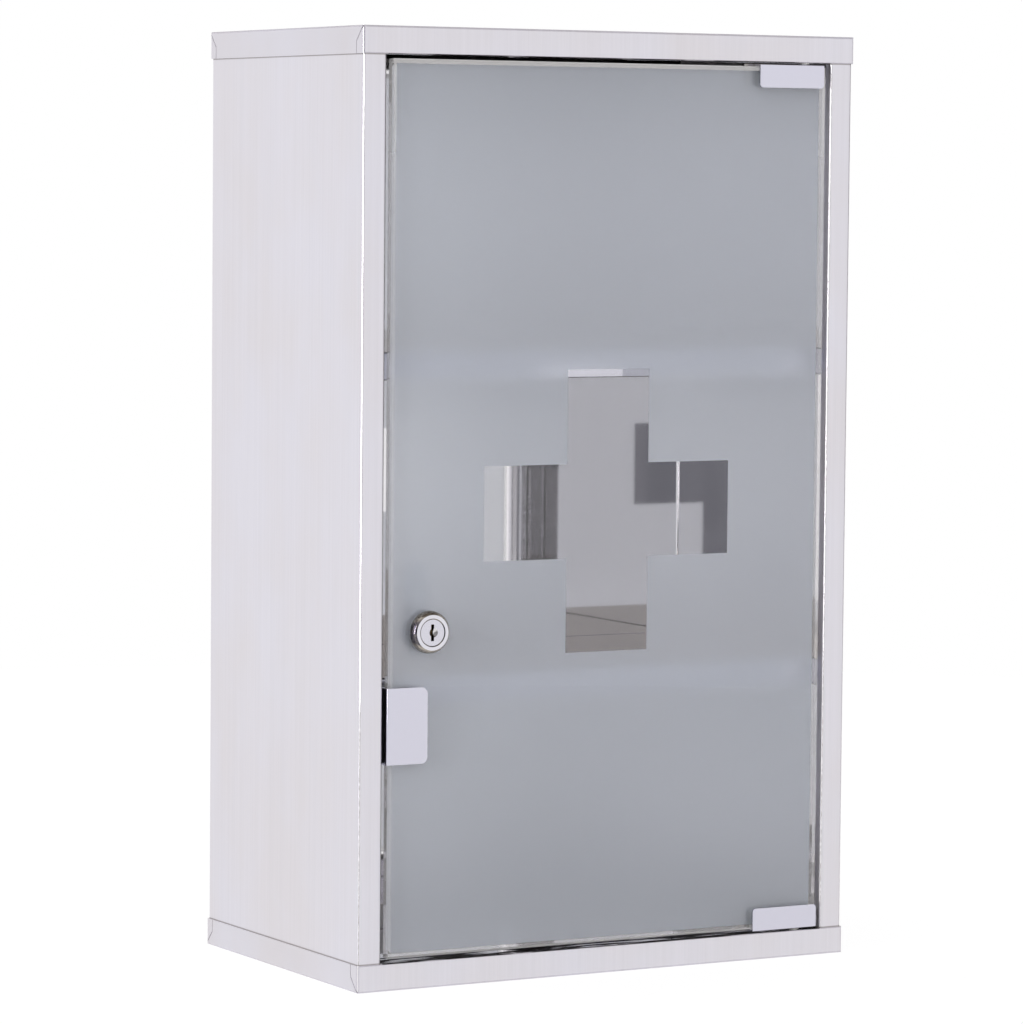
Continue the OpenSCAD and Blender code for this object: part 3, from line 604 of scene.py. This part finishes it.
CLEAR_TINT = (0.965, 0.98, 1.0, 1)
MILKY_TINT = (0.92, 0.94, 1.0, 1)
HAZE_TINT = (0.85, 0.90, 1.0, 1)
FROST_ROUGH = 0.52
FROST_BENDING = 1.35
ETCHED_CELL = (0.7 * MM, 0.7 * MM, 0.7 * MM)
ETCHED_DEPTH = 0.01 * MM
HAZE_SHARE = 0.68
SCATTERED_SHARE = 0.28
frosted = new_finish("frosted_glass")
through = put(frosted, "BsdfPrincipled", {
    "Base Color": CLEAR_TINT,
    "Roughness": FROST_ROUGH,
    "IOR": FROST_BENDING,
    "Transmission Weight": 1.0,
    "Normal": relief(frosted, clouds(frosted, ETCHED_CELL, detail=4), ETCHED_DEPTH),
})
scattered = mixed(frosted, HAZE_SHARE, put(frosted, "BsdfTranslucent", {"Color": MILKY_TINT}),
                  put(frosted, "BsdfDiffuse", {"Color": HAZE_TINT}))
frosting.data.materials.append(finished(frosted, mixed(frosted, SCATTERED_SHARE, through, scattered)))
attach(frosting, "door")
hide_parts("frost_film")

# ---- Clips and handle -------------------------------------------------------------------------
# Chromed plates bent over the edge of the pane, each on a thin clear liner and held by
# blackened grub screws from behind. Two carry the pivot pins, the third is the handle.

CLIP_EASED = 0.15 * MM
CHROME = (0.67, 0.66, 0.75, 1)
CHROME_BEHIND = (0.30, 0.28, 0.27, 1)
BEHIND_REACH = 0.2 * MM
CHROME_ROUGH = (0.09, 0.14)
POLISH_CELL = (4 * MM, 4 * MM, 4 * MM)
POLISH_DEPTH = 0.01 * MM


def chromed(name, colour, others):
    """Bright chrome. others holds colours with the places where they take over."""
    chrome = new_finish(name)
    polish = clouds(chrome, POLISH_CELL, detail=3)
    for other, other_way in others:
        colour = two_tone(chrome, other_way(chrome), colour, other)
    return finished(chrome, put(chrome, "BsdfPrincipled", {
        "Base Color": colour,
        "Metallic": 1.0,
        "Roughness": carried(chrome, polish, *NOISE_SPAN, *CHROME_ROUGH),
        "Normal": relief(chrome, polish, POLISH_DEPTH),
    }))


def behind_pane(chrome):
    """1 on the parts behind the pane, which take a darker colour."""
    return carried(chrome, where(chrome)[1], pane_high.y - BEHIND_REACH, pane_high.y, 0, 1)


dress(chromed("chrome_clips", CHROME, [(CHROME_BEHIND, behind_pane)]),
      "upper_hinge_clip", "lower_hinge_clip", "handle_clip")
eased(CLIP_EASED, "upper_hinge_clip", "lower_hinge_clip", "handle_clip")
dress(moulded("clear_liner", (0.72, 0.74, 0.75, 1), rough=0.35, cell=2 * MM, depth=0.01 * MM),
      "hinge_liners", "handle_liner")
dress(plain_metal("black_screw", light=(0.05, 0.05, 0.055, 1), dark=(0.03, 0.03, 0.033, 1), rough=0.4),
      "hinge_grub_screws", "handle_grub_screws")

# ---- Lock housing -----------------------------------------------------------------------------
# A turned and plated bezel with its barrel, on a grey gasket. Its flank carries a painted
# reflection of the studio: beige all round, brown patches above, and dark with small painted
# glints on the left.

# Painted reflections on the flank: beige all round, brown patches above, dark with painted glints on the
# left.
LOCK_CHROME = (0.75, 0.74, 0.79, 1)
PAINTED_REFLECTION_BEIGE = (0.42, 0.385, 0.34, 1)
PAINTED_REFLECTION_BROWN = (0.13, 0.10, 0.08, 1)
BROWN_REFLECTION_CELL = (1.1 * MM, 1.1 * MM, 1.1 * MM)
BROWN_REFLECTION_SPAN = (0.46, 0.60)
BROWN_REFLECTION_SHARE = 0.8
BROWN_REFLECTION_RISE = (-0.2, 0.7)
BROWN_REFLECTION_BELOW = 0.15
PAINTED_REFLECTION_DARK = (0.03, 0.027, 0.055, 1)
GLINT_CELL = (0.45 * MM, 0.45 * MM, 0.45 * MM)
GLINT_SPAN = (0.50, 0.60)
DARK_REFLECTION_AT_GLINTS = 0.25
DARK_REFLECTION_HEIGHT = (0.40, 0.54)
DARK_REFLECTION_SIDE = (-0.35, -0.2)


def painted_reflection_above(chrome):
    """Painted reflection: brown patches on the upper part of the flank."""
    brown_patches = carried(chrome, clouds(chrome, BROWN_REFLECTION_CELL, detail=3), *BROWN_REFLECTION_SPAN, 0, BROWN_REFLECTION_SHARE)
    upper = carried(chrome, facing(chrome)["Z"], *BROWN_REFLECTION_RISE, BROWN_REFLECTION_BELOW, 1)
    return all_of(chrome, off_front(chrome), brown_patches, upper)


def painted_reflection_left(chrome):
    """Painted reflection on the left of the flank: dark, with small painted glints of bright chrome."""
    x, _, z = facing(chrome)
    return all_of(chrome, off_front(chrome),
                  carried(chrome, clouds(chrome, GLINT_CELL, detail=3), *GLINT_SPAN, 1, DARK_REFLECTION_AT_GLINTS),
                  carried(chrome, off(chrome, z), *DARK_REFLECTION_HEIGHT, 1, 0),
                  carried(chrome, x, *DARK_REFLECTION_SIDE, 1, 0))


dress(chromed("chrome_lock", LOCK_CHROME, [(PAINTED_REFLECTION_BEIGE, off_front), (PAINTED_REFLECTION_BROWN, painted_reflection_above), (PAINTED_REFLECTION_DARK, painted_reflection_left)]),
      "lock_housing")
dress(moulded("grey_gasket", (0.40, 0.41, 0.43, 1), rough=0.5, cell=2 * MM, depth=0.01 * MM),
      "lock_gasket")

# ---- Lock plug, wafers and springs ------------------------------------------------------------
# The plug that the key turns has a satin face, and painted shade in the left and lower side
# of its dimple. Five stamped brass wafers slide in it, each on its own coil spring.

PLUG_SATIN = (0.70, 0.69, 0.755, 1)
PLUG_POLISH = (0.72, 0.71, 0.72, 1)
# Painted shade in the dimple: dark on its left side and towards its lower right.
PLUG_DIMPLE_SHADE = (0.03, 0.026, 0.026, 1)
SATIN_CELL = (0.25 * MM, 0.25 * MM, 0.25 * MM)
SATIN_DEPTH = 0.006 * MM
SATIN_ROUGH = (0.22, 0.34)
POLISH_ROUGH = 0.12
SUNK = (0.02 * MM, 0.08 * MM)
DIMPLE_SHADE_LEFT = (-0.2 * MM, 0.3 * MM)
DIMPLE_SHADE_LOW = (1.1 * MM, 2.2 * MM)
DIMPLE_SHADE_LOW_SHARE = 0.7
plug_face = new_finish("satin_chrome")
satin = clouds(plug_face, SATIN_CELL, detail=4)
plug_x, plug_y, plug_z = where(plug_face)
sunk = carried(plug_face, sums(plug_face, "SUBTRACT", plug_y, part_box("lock_plug")[0].y), *SUNK, 0, 1)
across = sums(plug_face, "SUBTRACT", plug_x, lock_middle.x)
upward = sums(plug_face, "SUBTRACT", plug_z, lock_middle.z)
low_right = sums(plug_face, "SUBTRACT", across, upward)
darkened = any_of(plug_face, carried(plug_face, across, *DIMPLE_SHADE_LEFT, 1, 0),
                carried(plug_face, low_right, *DIMPLE_SHADE_LOW, 0, DIMPLE_SHADE_LOW_SHARE))
dimple_tone = two_tone(plug_face, darkened, PLUG_POLISH, PLUG_DIMPLE_SHADE)
satin_rough = carried(plug_face, satin, *NOISE_SPAN, *SATIN_ROUGH)
dress(finished(plug_face, put(plug_face, "BsdfPrincipled", {
    "Base Color": two_tone(plug_face, sunk, PLUG_SATIN, dimple_tone),
    "Metallic": 1.0,
    "Roughness": between(plug_face, sunk, satin_rough, POLISH_ROUGH),
    "Normal": relief(plug_face, satin, SATIN_DEPTH),
})), "lock_plug")
dress(plain_metal("stamped_brass", light=(0.66, 0.47, 0.20, 1), dark=(0.52, 0.36, 0.14, 1), rough=0.3),
      "lock_wafers")
spring_steel = plain_metal("spring_wire", light=(0.40, 0.40, 0.42, 1), dark=(0.30, 0.30, 0.32, 1),
                           rough=0.25)
dress(spring_steel, "wafer_springs")

SPRINGS = 5
SPRING_TURNS = 9
SPRING_WIRE = 0.16 * MM
STEPS_A_TURN = 14
spring_low, spring_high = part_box("wafer_springs")
spring_d = spring_high.x - spring_low.x
spring_x = (spring_low.x + spring_high.x) / 2
spring_pitch = (spring_high.y - spring_low.y - spring_d) / (SPRINGS - 1)
coil_radius = (spring_d - SPRING_WIRE) / 2
coil_low = spring_low.z + SPRING_WIRE / 2
coil_rise = spring_high.z - spring_low.z - SPRING_WIRE
coil_steps = SPRING_TURNS * STEPS_A_TURN
drawn = bpy.data.curves.new("coils", "CURVE")
drawn.dimensions = "3D"
drawn.bevel_depth = SPRING_WIRE / 2
drawn.bevel_resolution = 2
drawn.use_fill_caps = True
for k in range(SPRINGS):
    spring_y = spring_low.y + spring_d / 2 + k * spring_pitch
    wire = drawn.splines.new("POLY")
    wire.points.add(coil_steps)
    for step, point in enumerate(wire.points):
        turn = 2 * math.pi * step / STEPS_A_TURN
        point.co = (spring_x + coil_radius * math.cos(turn), spring_y + coil_radius * math.sin(turn),
                    coil_low + coil_rise * step / coil_steps, 1)
coils = as_mesh("coil_springs", drawn)
coils.data.materials.append(spring_steel)
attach(coils, "lock")
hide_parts("wafer_springs")

# ---- Studio -----------------------------------------------------------------------------------
# A pale floor and a white surround, a soft lamp on the left, and the unlit parts of the studio,
# which the bright steel mirrors: the ceiling, the far left and right, and behind the camera.

CAMERA_PLACE = Vector((-1.27688, -2.25379, 0.42444))
CAMERA_YAW = math.radians(29.3386)
CAMERA_PITCH = math.radians(-4.0654)
CAMERA_ROLL = math.radians(0.5055)
FOCAL_LENGTH = 167.09
FURTHEST = 100

forward = Vector((
    math.sin(CAMERA_YAW) * math.cos(CAMERA_PITCH),
    math.cos(CAMERA_YAW) * math.cos(CAMERA_PITCH),
    math.sin(CAMERA_PITCH),
))
level = Vector((math.cos(CAMERA_YAW), -math.sin(CAMERA_YAW), 0))
upright = level.cross(forward)
right = level * math.cos(CAMERA_ROLL) + upright * math.sin(CAMERA_ROLL)
up = upright * math.cos(CAMERA_ROLL) - level * math.sin(CAMERA_ROLL)
lens = bpy.data.cameras.new("camera")
lens.lens = FOCAL_LENGTH
lens.clip_end = FURTHEST
camera = bpy.data.objects.new("camera", lens)
camera.matrix_world = Matrix((right, up, -forward)).transposed().to_4x4()
camera.location = CAMERA_PLACE
bpy.context.scene.collection.objects.link(camera)
bpy.context.scene.camera = camera

WHITE = (1, 1, 1, 1)
SURROUND = (0.98, 0.98, 0.99, 1)
# Each unlit part has its direction, how far round it the shade is full and where it ends, in
# degrees, and its colour.
UNLIT = [
    ((0.3, 0.12, 0.95), 30, 40, (0.26, 0.235, 0.215, 1)),
    ((-0.94, -0.28, 0), 23, 29, (0.07, 0.06, 0.10, 1)),
    ((1, -0.05, 0), 14, 22, (0.20, 0.19, 0.20, 1)),
    ((-forward.x, -forward.y, -0.065), 4.2, 4.8, (0.075, 0.075, 0.10, 1)),
]

world = bpy.data.worlds.new("studio")
world.use_nodes = True
world.node_tree.nodes.clear()
bpy.context.scene.world = world
ray_way = put(world, "TexCoord", {}).outputs["Generated"]
around = SURROUND
for way, within, fading, shade in UNLIT:
    along = put(world, "VectorMath", {0: ray_way, 1: Vector(way).normalized()},
                operation="DOT_PRODUCT").outputs["Value"]
    unlit = carried(world, along, math.cos(math.radians(fading)), math.cos(math.radians(within)), 0, 1)
    around = two_tone(world, unlit, around, shade)
camera_ray = put(world, "LightPath", {}).outputs["Is Camera Ray"]
sky = mixed(world, camera_ray, put(world, "Background", {"Color": around, "Strength": 1.0}),
            put(world, "Background", {"Color": WHITE, "Strength": 1.0}))
put(world, "OutputWorld", {"Surface": sky.outputs[0]})

LAMP_PLACE = Vector((-2.6, -0.8, 0.6))
LAMP_AIM = Vector((0, 0, 0.25))
light = bpy.data.lights.new("left_lamp", "AREA")
light.shape = "RECTANGLE"
light.size = 0.35
light.size_y = 1.6
light.energy = 15
lamp = bpy.data.objects.new("left_lamp", light)
lamp.matrix_world = (LAMP_AIM - LAMP_PLACE).to_track_quat("-Z", "Y").to_matrix().to_4x4()
lamp.location = LAMP_PLACE
bpy.context.scene.collection.objects.link(lamp)

FLOOR_RADIUS = 1.5
FLOOR_POINTS = 96
PAPER = (0.90, 0.90, 0.91, 1)
GLOW = 1.08
SEEN_SHARE = 0.85
MIRRORED_SHARE = 0.7
turns = [2 * math.pi * k / FLOOR_POINTS for k in range(FLOOR_POINTS)]
floor_mesh = bpy.data.meshes.new("floor")
floor_mesh.from_pydata([(FLOOR_RADIUS * math.cos(t), FLOOR_RADIUS * math.sin(t), 0) for t in turns],
                       [], [tuple(range(FLOOR_POINTS))])
floor = bpy.data.objects.new("floor", floor_mesh)
bpy.context.scene.collection.objects.link(floor)
pale = new_finish("pale_floor")
path = put(pale, "LightPath", {}).outputs
mirrored = any_of(pale, path["Is Glossy Ray"], path["Is Transmission Ray"])
shown = any_of(pale, sums(pale, "MULTIPLY", path["Is Camera Ray"], SEEN_SHARE),
               sums(pale, "MULTIPLY", mirrored, MIRRORED_SHARE))
floor_mesh.materials.append(finished(pale, mixed(
    pale, shown, put(pale, "BsdfDiffuse", {"Color": PAPER}),
    put(pale, "Emission", {"Color": WHITE, "Strength": GLOW}))))

bpy.context.scene.view_settings.view_transform = "Standard"
bpy.context.scene.cycles.max_bounces = 24
bpy.context.scene.cycles.glossy_bounces = 10
bpy.context.scene.cycles.transmission_bounces = 16
bpy.context.scene.cycles.transparent_max_bounces = 16
